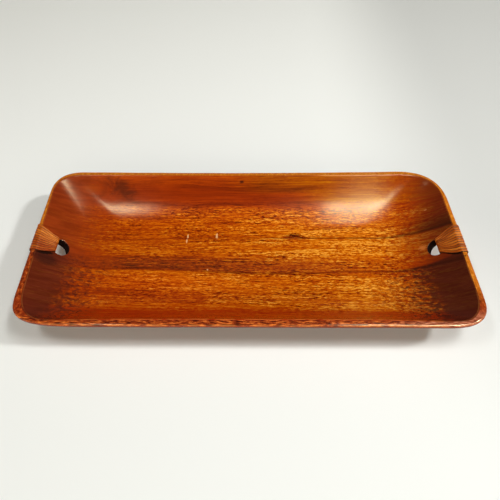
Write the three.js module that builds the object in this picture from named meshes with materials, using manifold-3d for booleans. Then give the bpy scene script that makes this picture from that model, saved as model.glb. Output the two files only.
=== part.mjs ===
// A long shallow serving bowl carved from one board, with a round hole through each sloping end
// wall. A strip of split cane is wound through each hole and over the rim, fanning out as it goes.
// Units are millimetres. The length runs along X, +Z is up, and the flat underside rests on Z = 0.
import * as THREE from 'three';
import { mergeVertices } from 'three/addons/utils/BufferGeometryUtils.js';
import Module from 'manifold-3d';

const wasm = await Module();
wasm.setup();

// Overall size of the bowl
const LENGTH = 450;
const WIDTH = 212;
const HEIGHT = 45;
const FLOOR_THICKNESS = 10;

// Plan of the rim. Corners run back right, back left, front left, front right.
const OUTER_CORNERS = [50, 36, 46, 36];
const INNER_CORNERS = [42, 28, 36, 34];
const RIM_WIDTH_END = 5.7;
const RIM_WIDTH_BACK = 7;
const RIM_WIDTH_FRONT = 9;
const BACK_HOLLOW = 1.8;
const RIM_SQUARENESS = 2.6;
const FLOOR_SQUARENESS = 2;
const CORNER_SIGNS = [[1, 1], [-1, 1], [-1, -1], [1, -1]];
const CORNER_STEPS = 10;
const LONG_SIDE_STEPS = 8;
const END_STEPS = 4;

// Section through the wall. Slopes are degrees from level.
const INNER_FOOT_RADIUS = 75;
const INNER_FOOT_SLOPE = 38;
const INNER_RIM_SLOPE = 48;
const INNER_EDGE_RADIUS = 1.5;
const OUTER_EDGE_RADIUS = 2;
const BAND_HEIGHT = 3;
const BAND_EDGE_RADIUS = 1.5;
const OUTER_RIM_SLOPE = 58;
const OUTER_BASE_SLOPE = 30;
const SECTION_STEPS = { foot: 6, inner: 4, innerEdge: 3, outerEdge: 3, band: 1, bandEdge: 1, outer: 5 };

// The hole at each end: nearly square to the inner face, its centre given on that face
const HOLE_RADIUS = 10;
const HOLE_REACH = 201.8;
const HOLE_SIDE = 3;
const HOLE_TILT = 37.5;
const HOLE_SIDES = 48;
const DRILL_LENGTH = 50;

// The cane strip and its turns
const TURNS = 11;
const STRIP_THICKNESS = 1;
const STRIP_WIDTH_RIM = 2.9;
const STRIP_WIDTH_HOLE = 1.85;
const STRIP_EDGE_SHARE = 0.36;
const STRIP_CLEARANCE = 0.4;
const STRIP_LIFT = STRIP_CLEARANCE + STRIP_THICKNESS / 2;
const RIM_PITCH = 3.4;
const FAN_CENTRE_LEFT = 4.5;
const FAN_CENTRE_RIGHT = 1.5;
const HOLE_PITCH_ANGLE = 15;
const HOLE_MIDDLE_ANGLE_LEFT = 7;
const HOLE_MIDDLE_ANGLE_RIGHT = 0;
const STRAIGHT_IN_HOLE = 1.2;
const HOLE_SHARES = [0, 0.5, 1];
const BEND_SHARES = [0, 0.5, 1];
const INNER_FAN_SHARES = [0.3, 0.55, 0.8];
const OUTER_FAN_SHARES = [0.8, 0.6, 0.4, 0.2];
const TAIL_SHARES = [0, 0.4];
const FAN_LEAVE_LEAST = 1.2;
const FAN_LEAVE_MOST = 5;
const FAN_LEAVE_SHARE = 0.6;
const FAN_STRAIGHT_AT_RIM = 9;
const FAN_GAP = 0.6;

const WOOD_COLOR = 0xa04c1c;
const CANE_COLOR = 0xb8733c;

const radians = THREE.MathUtils.degToRad;

// Walks the wall's section at an end, from the floor's edge up the inner face, over the rim and
// down to the base's edge. Each piece is an arc, or a straight where its radius is zero. An angle
// is that of the normal pointing out of the wood, and a negative radius is a hollow arc.
function wallSection() {
  const lowerRise = INNER_FOOT_RADIUS * (1 - Math.cos(radians(INNER_FOOT_SLOPE)));
  const edgeRise = INNER_EDGE_RADIUS * (1 - Math.cos(radians(INNER_RIM_SLOPE)));
  const upperRise = HEIGHT - FLOOR_THICKNESS - lowerRise - edgeRise;
  const innerTurn = Math.cos(radians(INNER_FOOT_SLOPE)) - Math.cos(radians(INNER_RIM_SLOPE));
  const bandRise = BAND_EDGE_RADIUS * Math.cos(radians(OUTER_RIM_SLOPE));
  const outerTurn = Math.cos(radians(OUTER_BASE_SLOPE)) - Math.cos(radians(OUTER_RIM_SLOPE));
  const outerRadius = (HEIGHT - BAND_HEIGHT - bandRise) / outerTurn;
  const pieces = [
    { name: 'foot', radius: -INNER_FOOT_RADIUS, to: 90 + INNER_FOOT_SLOPE },
    { name: 'inner', radius: -upperRise / innerTurn, to: 90 + INNER_RIM_SLOPE },
    { name: 'innerEdge', radius: INNER_EDGE_RADIUS, to: 90 },
    { name: 'top', radius: 0, length: RIM_WIDTH_END - OUTER_EDGE_RADIUS },
    { name: 'outerEdge', radius: OUTER_EDGE_RADIUS, to: 0 },
    { name: 'band', radius: 0, length: BAND_HEIGHT - OUTER_EDGE_RADIUS },
    { name: 'bandEdge', radius: BAND_EDGE_RADIUS, to: OUTER_RIM_SLOPE - 90 },
    { name: 'outer', radius: outerRadius, to: OUTER_BASE_SLOPE - 90 },
  ];
  let point = new THREE.Vector2(0, FLOOR_THICKNESS);
  let angle = Math.PI / 2;
  let start = 0;
  for (const entry of pieces) {
    const normal = new THREE.Vector2(Math.cos(angle), Math.sin(angle));
    entry.from = point.clone();
    entry.angle = angle;
    entry.start = start;
    if (entry.radius !== 0) {
      entry.centre = point.clone().addScaledVector(normal, -entry.radius);
      entry.length = Math.abs(entry.radius * (radians(entry.to) - angle));
    }
    const end = onPiece(entry, entry.length);
    point = end.point;
    angle = end.angle;
    start += entry.length;
  }
  const rimX = pieces.find((entry) => entry.name === 'band').from.x;
  const shift = new THREE.Vector2(LENGTH / 2 - rimX, 0);
  for (const entry of pieces) {
    entry.from.add(shift);
    entry.centre?.add(shift);
  }
  return pieces;
}

// The point and normal angle at a distance along one piece of the section
function onPiece(entry, distance) {
  if (entry.radius === 0) {
    const along = new THREE.Vector2(Math.sin(entry.angle), -Math.cos(entry.angle));
    return { point: entry.from.clone().addScaledVector(along, distance), angle: entry.angle };
  }
  const angle = entry.angle - distance / entry.radius;
  const normal = new THREE.Vector2(Math.cos(angle), Math.sin(angle));
  return { point: entry.centre.clone().addScaledVector(normal, entry.radius), angle };
}

const section = wallSection();
const piece = (name) => section.find((entry) => entry.name === name);

// The point and normal angle at a distance along the whole section
function onSection(distance) {
  const last = section.length - 1;
  const found = section.find((entry, i) => i === last || distance <= entry.start + entry.length);
  return onPiece(found, distance - found.start);
}

// One rounded corner of the plan, run anticlockwise: a quarter of a squared-off circle
function cornerArc(centre, radius, signX, signY, squareness) {
  const arc = [];
  for (let i = 0; i <= CORNER_STEPS; i += 1) {
    const turn = (Math.PI / 2) * (i / CORNER_STEPS);
    const major = radius * Math.cos(turn) ** (2 / squareness);
    const minor = radius * Math.sin(turn) ** (2 / squareness);
    const [x, y] = signX === signY ? [major, minor] : [minor, major];
    arc.push(new THREE.Vector2(centre.x + signX * x, centre.y + signY * y));
  }
  return arc;
}

// A closed plan outline: a rectangle with rounded corners, moved in by an inset at a height
function planRing(sides, corners, squareness, inset, height) {
  const halfLength = sides.right - inset;
  const halfDepth = (sides.back - sides.front) / 2 - inset;
  const middle = (sides.back + sides.front) / 2;
  const arcs = CORNER_SIGNS.map(([signX, signY], index) => {
    const radius = Math.min(corners[index], halfDepth);
    const centre = new THREE.Vector2(signX * (halfLength - radius), middle + signY * (halfDepth - radius));
    return cornerArc(centre, radius, signX, signY, squareness);
  });
  const ring = arcs.flatMap((arc, index) => {
    const next = arcs[(index + 1) % arcs.length][0];
    const steps = index % 2 === 0 ? LONG_SIDE_STEPS : END_STEPS;
    const side = Array.from({ length: steps - 1 }, (_, i) => arc.at(-1).clone().lerp(next, (i + 1) / steps));
    return [...arc, ...side];
  });
  return ring.map(({ x, y }) => new THREE.Vector3(x, y - backHollow(x, y), height));
}

// How far the back side is planed hollow at a point of the plan
function backHollow(x, y) {
  const reach = LENGTH / 2 - Math.max(...OUTER_CORNERS);
  const along = Math.max(0, 1 - (x / reach) ** 2);
  return BACK_HOLLOW * along * Math.max(0, y / (WIDTH / 2)) ** 2;
}

// Joins a stack of rings, all of the same count, into one closed body with a flat cap at each end
function skinRings(rings) {
  const count = rings[0].length;
  const positions = rings.flat().flatMap((point) => point.toArray());
  const index = [];
  for (let k = 0; k + 1 < rings.length; k += 1) {
    for (let i = 0; i < count; i += 1) {
      const a = k * count + i;
      const b = k * count + ((i + 1) % count);
      index.push(a, b, b + count, a, b + count, a + count);
    }
  }
  const first = positions.length / 3;
  const start = new THREE.Vector3();
  const end = new THREE.Vector3();
  rings[0].forEach((point) => start.addScaledVector(point, 1 / count));
  rings.at(-1).forEach((point) => end.addScaledVector(point, 1 / count));
  positions.push(...start.toArray(), ...end.toArray());
  const lastRing = (rings.length - 1) * count;
  for (let i = 0; i < count; i += 1) {
    const next = (i + 1) % count;
    index.push(first, next, i, first + 1, lastRing + i, lastRing + next);
  }
  const geometry = new THREE.BufferGeometry();
  geometry.setAttribute('position', new THREE.Float32BufferAttribute(positions, 3));
  geometry.setIndex(index);
  return geometry;
}

// The carved board before drilling: rings from the base's edge, over the rim, to the floor's edge
function boardBlank() {
  const outerSides = { right: LENGTH / 2, back: WIDTH / 2, front: -WIDTH / 2 };
  const innerSides = {
    right: LENGTH / 2 - RIM_WIDTH_END,
    back: WIDTH / 2 - RIM_WIDTH_BACK,
    front: -WIDTH / 2 + RIM_WIDTH_FRONT,
  };
  const rings = [];
  for (const entry of section.filter(({ name }) => name in SECTION_STEPS)) {
    const inside = entry.start < piece('top').start;
    const sides = inside ? innerSides : outerSides;
    const corners = inside ? INNER_CORNERS : OUTER_CORNERS;
    const opensStretch = entry.name === 'foot' || entry.name === 'outerEdge';
    const steps = SECTION_STEPS[entry.name];
    for (let i = opensStretch ? 0 : 1; i <= steps; i += 1) {
      const { point } = onPiece(entry, (entry.length * i) / steps);
      const depthShare = Math.min(1, (HEIGHT - point.y) / (HEIGHT - FLOOR_THICKNESS));
      const squareness = THREE.MathUtils.lerp(RIM_SQUARENESS, FLOOR_SQUARENESS, depthShare);
      rings.push(planRing(sides, corners, squareness, sides.right - point.x, point.y));
    }
  }
  return skinRings(rings.reverse());
}

function toManifold(geometry) {
  const bare = geometry.clone();
  bare.deleteAttribute('normal');
  bare.deleteAttribute('uv');
  const merged = mergeVertices(bare);
  return new wasm.Manifold(new wasm.Mesh({
    numProp: 3,
    vertProperties: new Float32Array(merged.getAttribute('position').array),
    triVerts: new Uint32Array(merged.getIndex().array),
  }));
}

function toGeometry(solid) {
  const mesh = solid.getMesh();
  const geometry = new THREE.BufferGeometry();
  geometry.setAttribute('position', new THREE.BufferAttribute(mesh.vertProperties, 3));
  geometry.setIndex(new THREE.BufferAttribute(mesh.triVerts, 1));
  return geometry;
}

// The hole in the section's plane: its centre on the inner face, the drill's direction down and
// out through the wall, and the direction in the face that points up at the rim
function holeFrame() {
  const inner = piece('inner');
  const height = inner.centre.y - Math.sqrt(inner.radius ** 2 - (HOLE_REACH - inner.centre.x) ** 2);
  const tilt = radians(HOLE_TILT);
  return {
    centre: new THREE.Vector2(HOLE_REACH, height),
    down: new THREE.Vector2(Math.sin(tilt), -Math.cos(tilt)),
    rimward: new THREE.Vector2(Math.cos(tilt), Math.sin(tilt)),
  };
}

const hole = holeFrame();

// The drill for the hole at one end, end being 1 for the right and -1 for the left
function drill(end) {
  const geometry = new THREE.CylinderGeometry(HOLE_RADIUS, HOLE_RADIUS, DRILL_LENGTH, HOLE_SIDES);
  const down = new THREE.Vector3(end * hole.down.x, 0, hole.down.y);
  const turn = new THREE.Quaternion().setFromUnitVectors(new THREE.Vector3(0, 1, 0), down);
  geometry.applyQuaternion(turn);
  geometry.translate(end * hole.centre.x, HOLE_SIDE, hole.centre.y);
  return toManifold(geometry);
}

function trayBody() {
  const board = toManifold(boardBlank());
  return toGeometry(board.subtract(drill(1)).subtract(drill(-1)));
}

// Where the line down the hole's wall at an angle round it meets one face of the end wall
function mouthEdge(face, angle) {
  const from = hole.centre.clone().addScaledVector(hole.rimward, HOLE_RADIUS * Math.cos(angle));
  const toLine = from.clone().sub(face.centre);
  const half = toLine.dot(hole.down);
  const root = Math.sqrt(half ** 2 - toLine.lengthSq() + face.radius ** 2);
  const depth = -half + root;
  const point = from.clone().addScaledVector(hole.down, depth);
  const normal = point.clone().sub(face.centre).divideScalar(face.radius);
  const turned = Math.atan2(normal.y, normal.x);
  return {
    point,
    normal,
    side: HOLE_RADIUS * Math.sin(angle),
    depth,
    distance: face.start + face.radius * (face.angle - turned),
  };
}

// One place on the strip's path: its middle, the way its outer side faces, and its width
function place(x, y, z, normal, width) {
  return { middle: new THREE.Vector3(x, y, z), normal, width };
}

// A place inside the hole, against its wall, at a depth below the inner face's centre
function inHole(angle, depth) {
  const reach = HOLE_RADIUS - STRIP_LIFT;
  const point = hole.centre.clone().addScaledVector(hole.rimward, reach * Math.cos(angle));
  point.addScaledVector(hole.down, depth);
  const out = hole.rimward.clone().multiplyScalar(-Math.cos(angle));
  const normal = new THREE.Vector3(out.x, -Math.sin(angle), out.y);
  return place(point.x, HOLE_SIDE + reach * Math.sin(angle), point.y, normal, STRIP_WIDTH_HOLE);
}

// A place on the bend round a mouth's edge, bend running from 0 in the hole to 1 on the face
function atMouth(edge, angle, bend) {
  const turn = (Math.PI / 2) * bend;
  const inward = hole.rimward.clone().multiplyScalar(-Math.cos(angle));
  const normal = new THREE.Vector3(inward.x, -Math.sin(angle), inward.y).multiplyScalar(Math.cos(turn));
  normal.addScaledVector(new THREE.Vector3(edge.normal.x, 0, edge.normal.y), Math.sin(turn)).normalize();
  const middle = new THREE.Vector3(edge.point.x, HOLE_SIDE + edge.side, edge.point.y);
  middle.addScaledVector(normal, STRIP_LIFT);
  return { middle, normal, width: STRIP_WIDTH_HOLE };
}

// A place lying on the wall at a distance along the section and a place across it
function onWall(distance, across, width) {
  const { point, angle } = onSection(distance);
  const normal = new THREE.Vector3(Math.cos(angle), 0, Math.sin(angle));
  return place(point.x + STRIP_LIFT * normal.x, across, point.y + STRIP_LIFT * normal.z, normal, width);
}

// The strip's way across one face, from the mouth, which it leaves square, to the rim. The curve
// is drawn on the face laid flat: distance along the section against distance across it.
function fanCurve(face, angle, rimDistance, rimAcross) {
  const edge = mouthEdge(face, angle);
  const toRim = Math.sign(rimDistance - edge.distance);
  const from = new THREE.Vector2(edge.distance, HOLE_SIDE + edge.side);
  const to = new THREE.Vector2(rimDistance, rimAcross);
  const leave = new THREE.Vector2(toRim * Math.cos(angle), Math.sin(angle));
  const wanted = (FAN_LEAVE_SHARE * (to.y - from.y)) / leave.y;
  const straight = THREE.MathUtils.clamp(wanted, FAN_LEAVE_LEAST, FAN_LEAVE_MOST);
  const away = from.clone().addScaledVector(leave, straight);
  const level = new THREE.Vector2(to.x - toRim * FAN_STRAIGHT_AT_RIM, to.y);
  return new THREE.CubicBezierCurve(from, away, level, to);
}

// The width a strip may have at a share of its fan curve, with room for the strips beside it
function fanWidth(curves, turn, share) {
  const at = curves[turn].getPoint(share);
  const way = curves[turn].getTangent(share);
  const beside = [curves[turn - 1], curves[turn + 1]].filter(Boolean);
  const spaces = beside.map((curve) => Math.abs(way.cross(curve.getPoint(share).sub(at))));
  const wanted = THREE.MathUtils.lerp(STRIP_WIDTH_HOLE, STRIP_WIDTH_RIM, share);
  return Math.min(wanted, ...spaces.map((space) => space - FAN_GAP));
}

// The places along a winding: up through the hole, over the rim and back to the hole, again and
// again. The strip moves on to the next turn's place half in the hole and half on the outer face.
function windingPath(fanCentre, middleAngle) {
  const innerFace = piece('inner');
  const outerFace = piece('outer');
  const innerEdge = piece('innerEdge');
  const outerEdge = piece('outerEdge');
  const rimPlaces = [
    innerEdge.start,
    innerEdge.start + innerEdge.length / 2,
    innerEdge.start + innerEdge.length,
    outerEdge.start,
    outerEdge.start + outerEdge.length / 3,
    outerEdge.start + (outerEdge.length * 2) / 3,
    outerEdge.start + outerEdge.length,
    outerFace.start,
  ];
  const turns = [...Array(TURNS).keys()];
  const fromMiddle = (turn) => turn - (TURNS - 1) / 2;
  const mouthAngle = (turn) => radians(middleAngle + HOLE_PITCH_ANGLE * fromMiddle(turn));
  const footAngle = (turn) => mouthAngle(turn - 0.5);
  const across = (turn) => fanCentre + RIM_PITCH * fromMiddle(turn);
  const ups = turns.map((turn) => fanCurve(innerFace, mouthAngle(turn), innerEdge.start, across(turn)));
  const downs = turns.map((turn) => fanCurve(outerFace, footAngle(turn + 1), outerFace.start, across(turn)));
  const onFan = (curves, turn, share) => {
    const at = curves[turn].getPoint(share);
    return onWall(at.x, at.y, fanWidth(curves, turn, share));
  };
  const upHole = (turn, share) => {
    const foot = mouthEdge(outerFace, footAngle(turn)).depth - STRAIGHT_IN_HOLE;
    const mouth = mouthEdge(innerFace, mouthAngle(turn)).depth + STRAIGHT_IN_HOLE;
    const angle = THREE.MathUtils.lerp(footAngle(turn), mouthAngle(turn), share);
    return inHole(angle, THREE.MathUtils.lerp(foot, mouth, share));
  };
  const path = [];
  for (const turn of turns) {
    const mouth = mouthEdge(innerFace, mouthAngle(turn));
    const foot = mouthEdge(outerFace, footAngle(turn + 1));
    HOLE_SHARES.forEach((share) => path.push(upHole(turn, share)));
    BEND_SHARES.forEach((bend) => path.push(atMouth(mouth, mouthAngle(turn), bend)));
    INNER_FAN_SHARES.forEach((share) => path.push(onFan(ups, turn, share)));
    rimPlaces.forEach((distance) => path.push(onWall(distance, across(turn), STRIP_WIDTH_RIM)));
    OUTER_FAN_SHARES.forEach((share) => path.push(onFan(downs, turn, share)));
    BEND_SHARES.toReversed().forEach((bend) => path.push(atMouth(foot, footAngle(turn + 1), bend)));
  }
  TAIL_SHARES.forEach((share) => path.push(upHole(TURNS, share)));
  return path;
}

// The six corners of the strip's section at each place, square to its way
function stripRings(path) {
  return path.map((at, i) => {
    const before = path[Math.max(0, i - 1)].middle;
    const after = path[Math.min(path.length - 1, i + 1)].middle;
    const way = after.clone().sub(before).normalize();
    const out = at.normal.clone().addScaledVector(way, -at.normal.dot(way)).normalize();
    const across = new THREE.Vector3().crossVectors(out, way);
    const half = at.width / 2;
    const shoulder = at.width * STRIP_EDGE_SHARE;
    const rise = STRIP_THICKNESS / 2;
    const top = [[half, 0], [shoulder, rise], [-shoulder, rise]];
    const corners = [...top, ...top.map(([side, height]) => [-side, -height])];
    return corners.map(([side, height]) => at.middle.clone()
      .addScaledVector(across, side)
      .addScaledVector(out, height));
  });
}

// The least gap between two turns of a strip: from the corners of its rings, and points between
// them, to the edges that run along it more than half a turn away
function leastGap(rings, ringsPerTurn) {
  const line = new THREE.Line3();
  const nearest = new THREE.Vector3();
  let least = Infinity;
  for (let i = 0; i + 1 < rings.length; i += 1) {
    const probes = rings[i].flatMap((corner, a) => [corner, corner.clone().lerp(rings[i + 1][a], 0.5)]);
    for (let j = i + ringsPerTurn / 2; j + 1 < rings.length; j += 1) {
      if (rings[i][0].distanceTo(rings[j][0]) > HOLE_RADIUS) {
        continue;
      }
      rings[j].forEach((corner, b) => {
        line.set(corner, rings[j + 1][b]);
        for (const probe of probes) {
          line.closestPointToPoint(probe, true, nearest);
          least = Math.min(least, nearest.distanceTo(probe));
        }
      });
    }
  }
  return least;
}

// One winding as a closed body. The left one is the same path turned over to the other end.
function caneWrap(name, end, fanCentre, middleAngle) {
  const path = windingPath(fanCentre, middleAngle);
  path.forEach((at) => {
    at.middle.x *= end;
    at.normal.x *= end;
  });
  const rings = stripRings(path);
  const gap = leastGap(rings, Math.floor(path.length / TURNS));
  console.log(`${name}: least gap between turns ${gap.toFixed(2)} mm, wanted over 0.4`);
  return skinRings(rings);
}

function part(name, geometry, material) {
  geometry.computeVertexNormals();
  const mesh = new THREE.Mesh(geometry, material);
  mesh.name = name;
  return mesh;
}

const wood = new THREE.MeshStandardMaterial({ color: WOOD_COLOR, roughness: 0.3, metalness: 0 });
const cane = new THREE.MeshStandardMaterial({ color: CANE_COLOR, roughness: 0.55, metalness: 0 });

const bowl = new THREE.Group();
bowl.add(part('tray_body', trayBody(), wood));
bowl.add(part(
  'cane_wrap_left',
  caneWrap('cane_wrap_left', -1, FAN_CENTRE_LEFT, HOLE_MIDDLE_ANGLE_LEFT),
  cane,
));
bowl.add(part(
  'cane_wrap_right',
  caneWrap('cane_wrap_right', 1, FAN_CENTRE_RIGHT, HOLE_MIDDLE_ANGLE_RIGHT),
  cane,
));

export default bowl;
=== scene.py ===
# A long shallow serving bowl carved from one board, its rim wound with split cane at both ends
from math import atan2, copysign, cos, pi, radians, sin, sqrt

import bmesh
import bpy
from mathutils import Matrix, Vector, noise


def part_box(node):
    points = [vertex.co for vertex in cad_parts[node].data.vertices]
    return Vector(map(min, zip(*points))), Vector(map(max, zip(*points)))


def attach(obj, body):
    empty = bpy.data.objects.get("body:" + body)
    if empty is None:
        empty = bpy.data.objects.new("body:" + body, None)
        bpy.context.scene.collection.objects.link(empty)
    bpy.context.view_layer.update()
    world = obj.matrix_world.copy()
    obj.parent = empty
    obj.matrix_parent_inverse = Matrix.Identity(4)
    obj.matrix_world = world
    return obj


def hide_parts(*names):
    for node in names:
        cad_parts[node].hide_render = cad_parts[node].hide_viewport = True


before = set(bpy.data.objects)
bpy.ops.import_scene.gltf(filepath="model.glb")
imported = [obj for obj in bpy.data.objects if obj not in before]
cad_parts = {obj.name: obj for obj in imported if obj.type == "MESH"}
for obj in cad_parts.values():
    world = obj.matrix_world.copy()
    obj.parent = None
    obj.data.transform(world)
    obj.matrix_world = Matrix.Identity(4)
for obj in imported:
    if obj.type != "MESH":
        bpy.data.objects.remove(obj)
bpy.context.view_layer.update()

SCENE = bpy.context.scene
MM = 0.001

# The bowl's own size comes from the frame. Everything below is in millimetres.
BOWL_LOW, BOWL_HIGH = (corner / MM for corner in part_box("tray_body"))
LENGTH = BOWL_HIGH.x - BOWL_LOW.x
WIDTH = BOWL_HIGH.y - BOWL_LOW.y
HEIGHT = BOWL_HIGH.z
FLOOR_THICKNESS = 10

# Plan of the rim. Corners run back right, back left, front left, front right.
# Each corner has its reach along the length, its reach across it and its squareness.
OUTER_CORNERS = ((50, 53, 2.6), (33, 33, 2.6), (84, 42, 4.0), (44, 35, 2.9))
INNER_CORNERS = ((42, 42, 2.6), (29, 29, 2.6), (32, 35, 2.4), (28, 34, 2.5))
FLOOR_SQUARENESS = 2
RIM_WIDTH_END = 5.7
RIM_WIDTH_BACK = 5.8
RIM_WIDTH_FRONT = 6.5
FRONT_DRAWN_IN = 1.5
BACK_HOLLOW = 1.8
FRONT_CORNER_BULGE = 1.8
SIDE_SHEAR = 1.0
END_TAPER = 0.009
BULGE_START = 105
BULGE_SPAN = 80
# How far an end's outer and inner faces are drawn in, at its middle, and the inner one per mm forward
ENDS_DRAWN_IN = {-1: (0, -0.9, 0.0285), 1: (1.1, 0.75, 0.006)}
CORNER_SIGNS = ((1, 1), (-1, 1), (-1, -1), (1, -1))
CORNER_STEPS = 20
LONG_SIDE_STEPS = 80
END_STEPS = 70

# Section through the wall. Slopes are degrees from level.
INNER_FOOT_RADIUS = 75
INNER_FOOT_SLOPE = 38
INNER_RIM_SLOPE = 48
INNER_EDGE_RADIUS = 1.5
OUTER_EDGE_RADIUS = 2
BAND_HEIGHT = 3
BAND_EDGE_RADIUS = 1.5
OUTER_RIM_SLOPE = 58
OUTER_BASE_SLOPE = 30
BASE_EDGE_RADIUS = 1.5
ROW_STEP = 1.15
FLAT_ROW_STEP = 5
SHORT_STRETCH_ROWS = 5
SKIN_WELD = 0.002
# How pale each rim edge is painted: partly wear, partly painted highlight along the edge
MOST_WEAR_AND_GLINT = {"outer_edge": 0.5, "inner_edge": 1, "band_edge": 0.4}
UNEVENNESS = 0.22
UNEVENNESS_SPAN = 38
UNEVENNESS_SEED = 1

# The holes: nearly square to the inner face, centres given on that face
HOLE_RADIUS = 10
HOLE_REACH = 201.8
HOLE_SIDE = 3
HOLE_TILT = 37.5
MOUTH_ROUNDING = 0.35
MOUTH_STEPS = 3
MOUTH_EASE = 0.6
PATCH_HALF = 14
OPENING_HALF = 7

# The cane strips
TURNS = 11
STRIP_THICKNESS = 1.25
STRIP_SIDES = 14
RIM_PITCH = 3.4
STRIP_AREA = RIM_PITCH * STRIP_THICKNESS
STRIP_OVERLAP = 0.04
STRIP_BED = 0.42
STRIP_SQUARENESS = 0.85
STRIP_WOBBLE = 0.10
WOBBLE_STEP = 0.11
STRIP_WELD = 0.0005
MOUTH_PITCH = 1.66
BEND_CLEARANCE = 0.5
# Steps of a turn: through the hole, round a mouth, up a fan and over the rim, and of the last tail
HOLE_STEPS, BEND_STEPS, FAN_STEPS, RIM_STEPS, TAIL_STEPS = 7, 6, 14, 20, 3
# How far along its way a fan's strip holds its first way, turns to its last one, and levels out
FAN_HOLDS, FAN_TURNS, FAN_LEVELS = 0.3, 0.7, 0.35
# For each side: the fan's middle and pitch below the rim, its middle on the rim's outer edge, how
# far over the hole it reaches, its slant there in degrees, and how early it straightens up
FANS = {
    "left": {"low": 2.2, "low_pitch": 2.95, "high": 4.5, "reach": 3.0, "slant": 2, "level": 4},
    "right": {"low": 1.5, "low_pitch": 3.3, "high": 1.5, "reach": 0.8, "slant": 2, "level": 7},
}

# Knots and spots on the wood, and painted shadow below the cane windings: place in plan, reach, turn,
# raggedness, strength and colour
MARKS_AND_PAINTED_SHADOWS = (
    ((50, 33.6), (14, 5.5), 0, 1.8, 0.5, (148, 44, 6)),
    ((50.5, 35.6), (9, 3.2), 4, 3.4, 0.95, (60, 12, 2)),
    ((58.5, 33.2), (7.5, 2.0), -14, 1.8, 0.9, (78, 16, 2)),
    ((44, 32.8), (6, 2.4), 16, 2.4, 0.6, (112, 32, 4)),
    ((89, 45.5), (7, 3.2), 0, 2.4, 0.55, (140, 46, 10)),
    ((-8.5, 93.3), (3.2, 1.4), 0, 0.8, 0.85, (52, 16, 6)),
    ((-25, 104.6), (1.8, 1.1), 0, 0.5, 0.9, (40, 12, 6)),
    ((220, -22), (1.6, 1.4), 0, 0.8, 0.8, (44, 16, 8)),
    ((-222, -50), (1.2, 2.4), 0, 0.8, 0.7, (50, 18, 10)),
    ((170, -103.3), (2.6, 0.9), 0, 0.8, 0.8, (44, 16, 8)),
    ((152, 2), (4.5, 2.5), 0, 0.8, 0.6, (168, 56, 14)),
    ((190, 9), (5, 4), 0, 1.6, 0.6, (212, 124, 52)),
    ((201, 57), (1.8, 1.0), 0, 1.0, 0.6, (190, 120, 70)),
    ((-69.8, 34.5), (1.1, 3.4), 0, 1.3, 0.8, (246, 196, 130)),
    ((-70.6, 27.5), (1.1, 3.6), 0, 1.3, 0.7, (244, 190, 124)),
    ((-36.8, 35), (1.5, 4.6), 0, 1.5, 0.65, (246, 196, 130)),
    ((-45, -13.5), (1.2, 1.5), 0, 1.0, 0.7, (238, 180, 120)),
    # The last three are painted shadow: dark below the front edges of the cane windings, on the end walls
    ((-212, -12), (10, 2.2), 32, 0.5, 0.9, (14, 5, 3)),
    ((-210, -19), (12, 9), 15, 0.8, 0.6, (34, 14, 12)),
    ((212, -13), (11, 2.2), -42, 0.5, 0.9, (12, 4, 2)),
)

# Tones of the wood, its rim and the cane: how light each one is, and its colour
MIDDLE_TONE = 0.545
WOOD_TONES = (
    (0.0, (66, 15, 0)), (0.2, (116, 34, 0)), (0.35, (144, 47, 0)), (0.5, (168, 63, 0)),
    (0.65, (190, 86, 0)), (0.8, (210, 112, 9)), (0.92, (226, 140, 24)), (1.0, (236, 162, 52)),
)
GOLDEN_RIM = ((0.36, (146, 62, 6)), (0.5, (194, 108, 22)), (0.62, (228, 158, 58)))
DULL_RIM = ((0.40, (40, 10, 6)), (0.47, (112, 36, 12)), (0.53, (158, 62, 20)), (0.62, (226, 124, 48)))
# Painted sheen for the front right of the rim top, where it reflects a light
PAINTED_SHEEN_RIM = (
    (0.40, (84, 34, 22)), (0.47, (146, 78, 52)), (0.54, (176, 102, 70)), (0.64, (214, 150, 118)),
)
CANE_TONES = ((0.1, (84, 28, 3)), (0.36, (144, 61, 8)), (0.54, (178, 85, 14)), (0.8, (212, 122, 38)))
OIL_SHINE = (1, 0.89, 0.54, 1)
CANE_SHINE = (1, 0.78, 0.42, 1)
OILED_ROUGHNESS = 0.125
BORED_ROUGHNESS = 0.8

# The grain: how much it leans with height and with length, and how far it wanders to the side
GRAIN_LEAN = 0.3
GRAIN_SKEW = 0.022
GRAIN_WANDER = 9.0

# The photograph's view: where the lens stands from the middle of the rim, and how it is turned
CAMERA_FROM_RIM = Vector((-0.745, -341.82, 394.95))
CAMERA_PITCH = 50.36
CAMERA_YAW = 0.286
CAMERA_ROLL = 0.229
LENS = 36

# The dim room with its low windows, as it lights the bowl and as it is seen, and the floor: how
# much painted shade darkens it far to the right, and between which distances it fades into the room
ROOM_COLOUR = (1, 0.93, 0.80, 1)
ROOM_GLOW = 0.07
WINDOW_GLOW = 1.6
BELOW_GLOW = 0.7
ROOM_TONE = 0.8
SEEN_ROOM = (1, 0.99, 0.96, 1)
FLOOR_REACH = 30
FLOOR_PAINTED_SHADE = 0.28
FLOOR_FADES = (0.8, 2.0)

# Name, place in metres, size, watts, and whether it is aimed at the bowl or straight down.
# The sheens only show in what shines.
LAMPS = (
    ("lamp_right", (0.44, -0.28, 1.25), (0.18, 0.42), 7.0, False),
    ("lamp_left", (-0.50, -0.26, 1.25), (0.11, 0.32), 3.5, False),
    ("lamp_side", (2.2, -0.27, 2.1), (0.24, 0.24), 41, True),
    ("sheen_right", (0.41, 0.10, 1.25), (0.20, 0.46), 2.8, False),
    ("sheen_corner", (0.91, -0.42, 1.61), (0.40, 0.40), 38, True),
)


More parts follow.
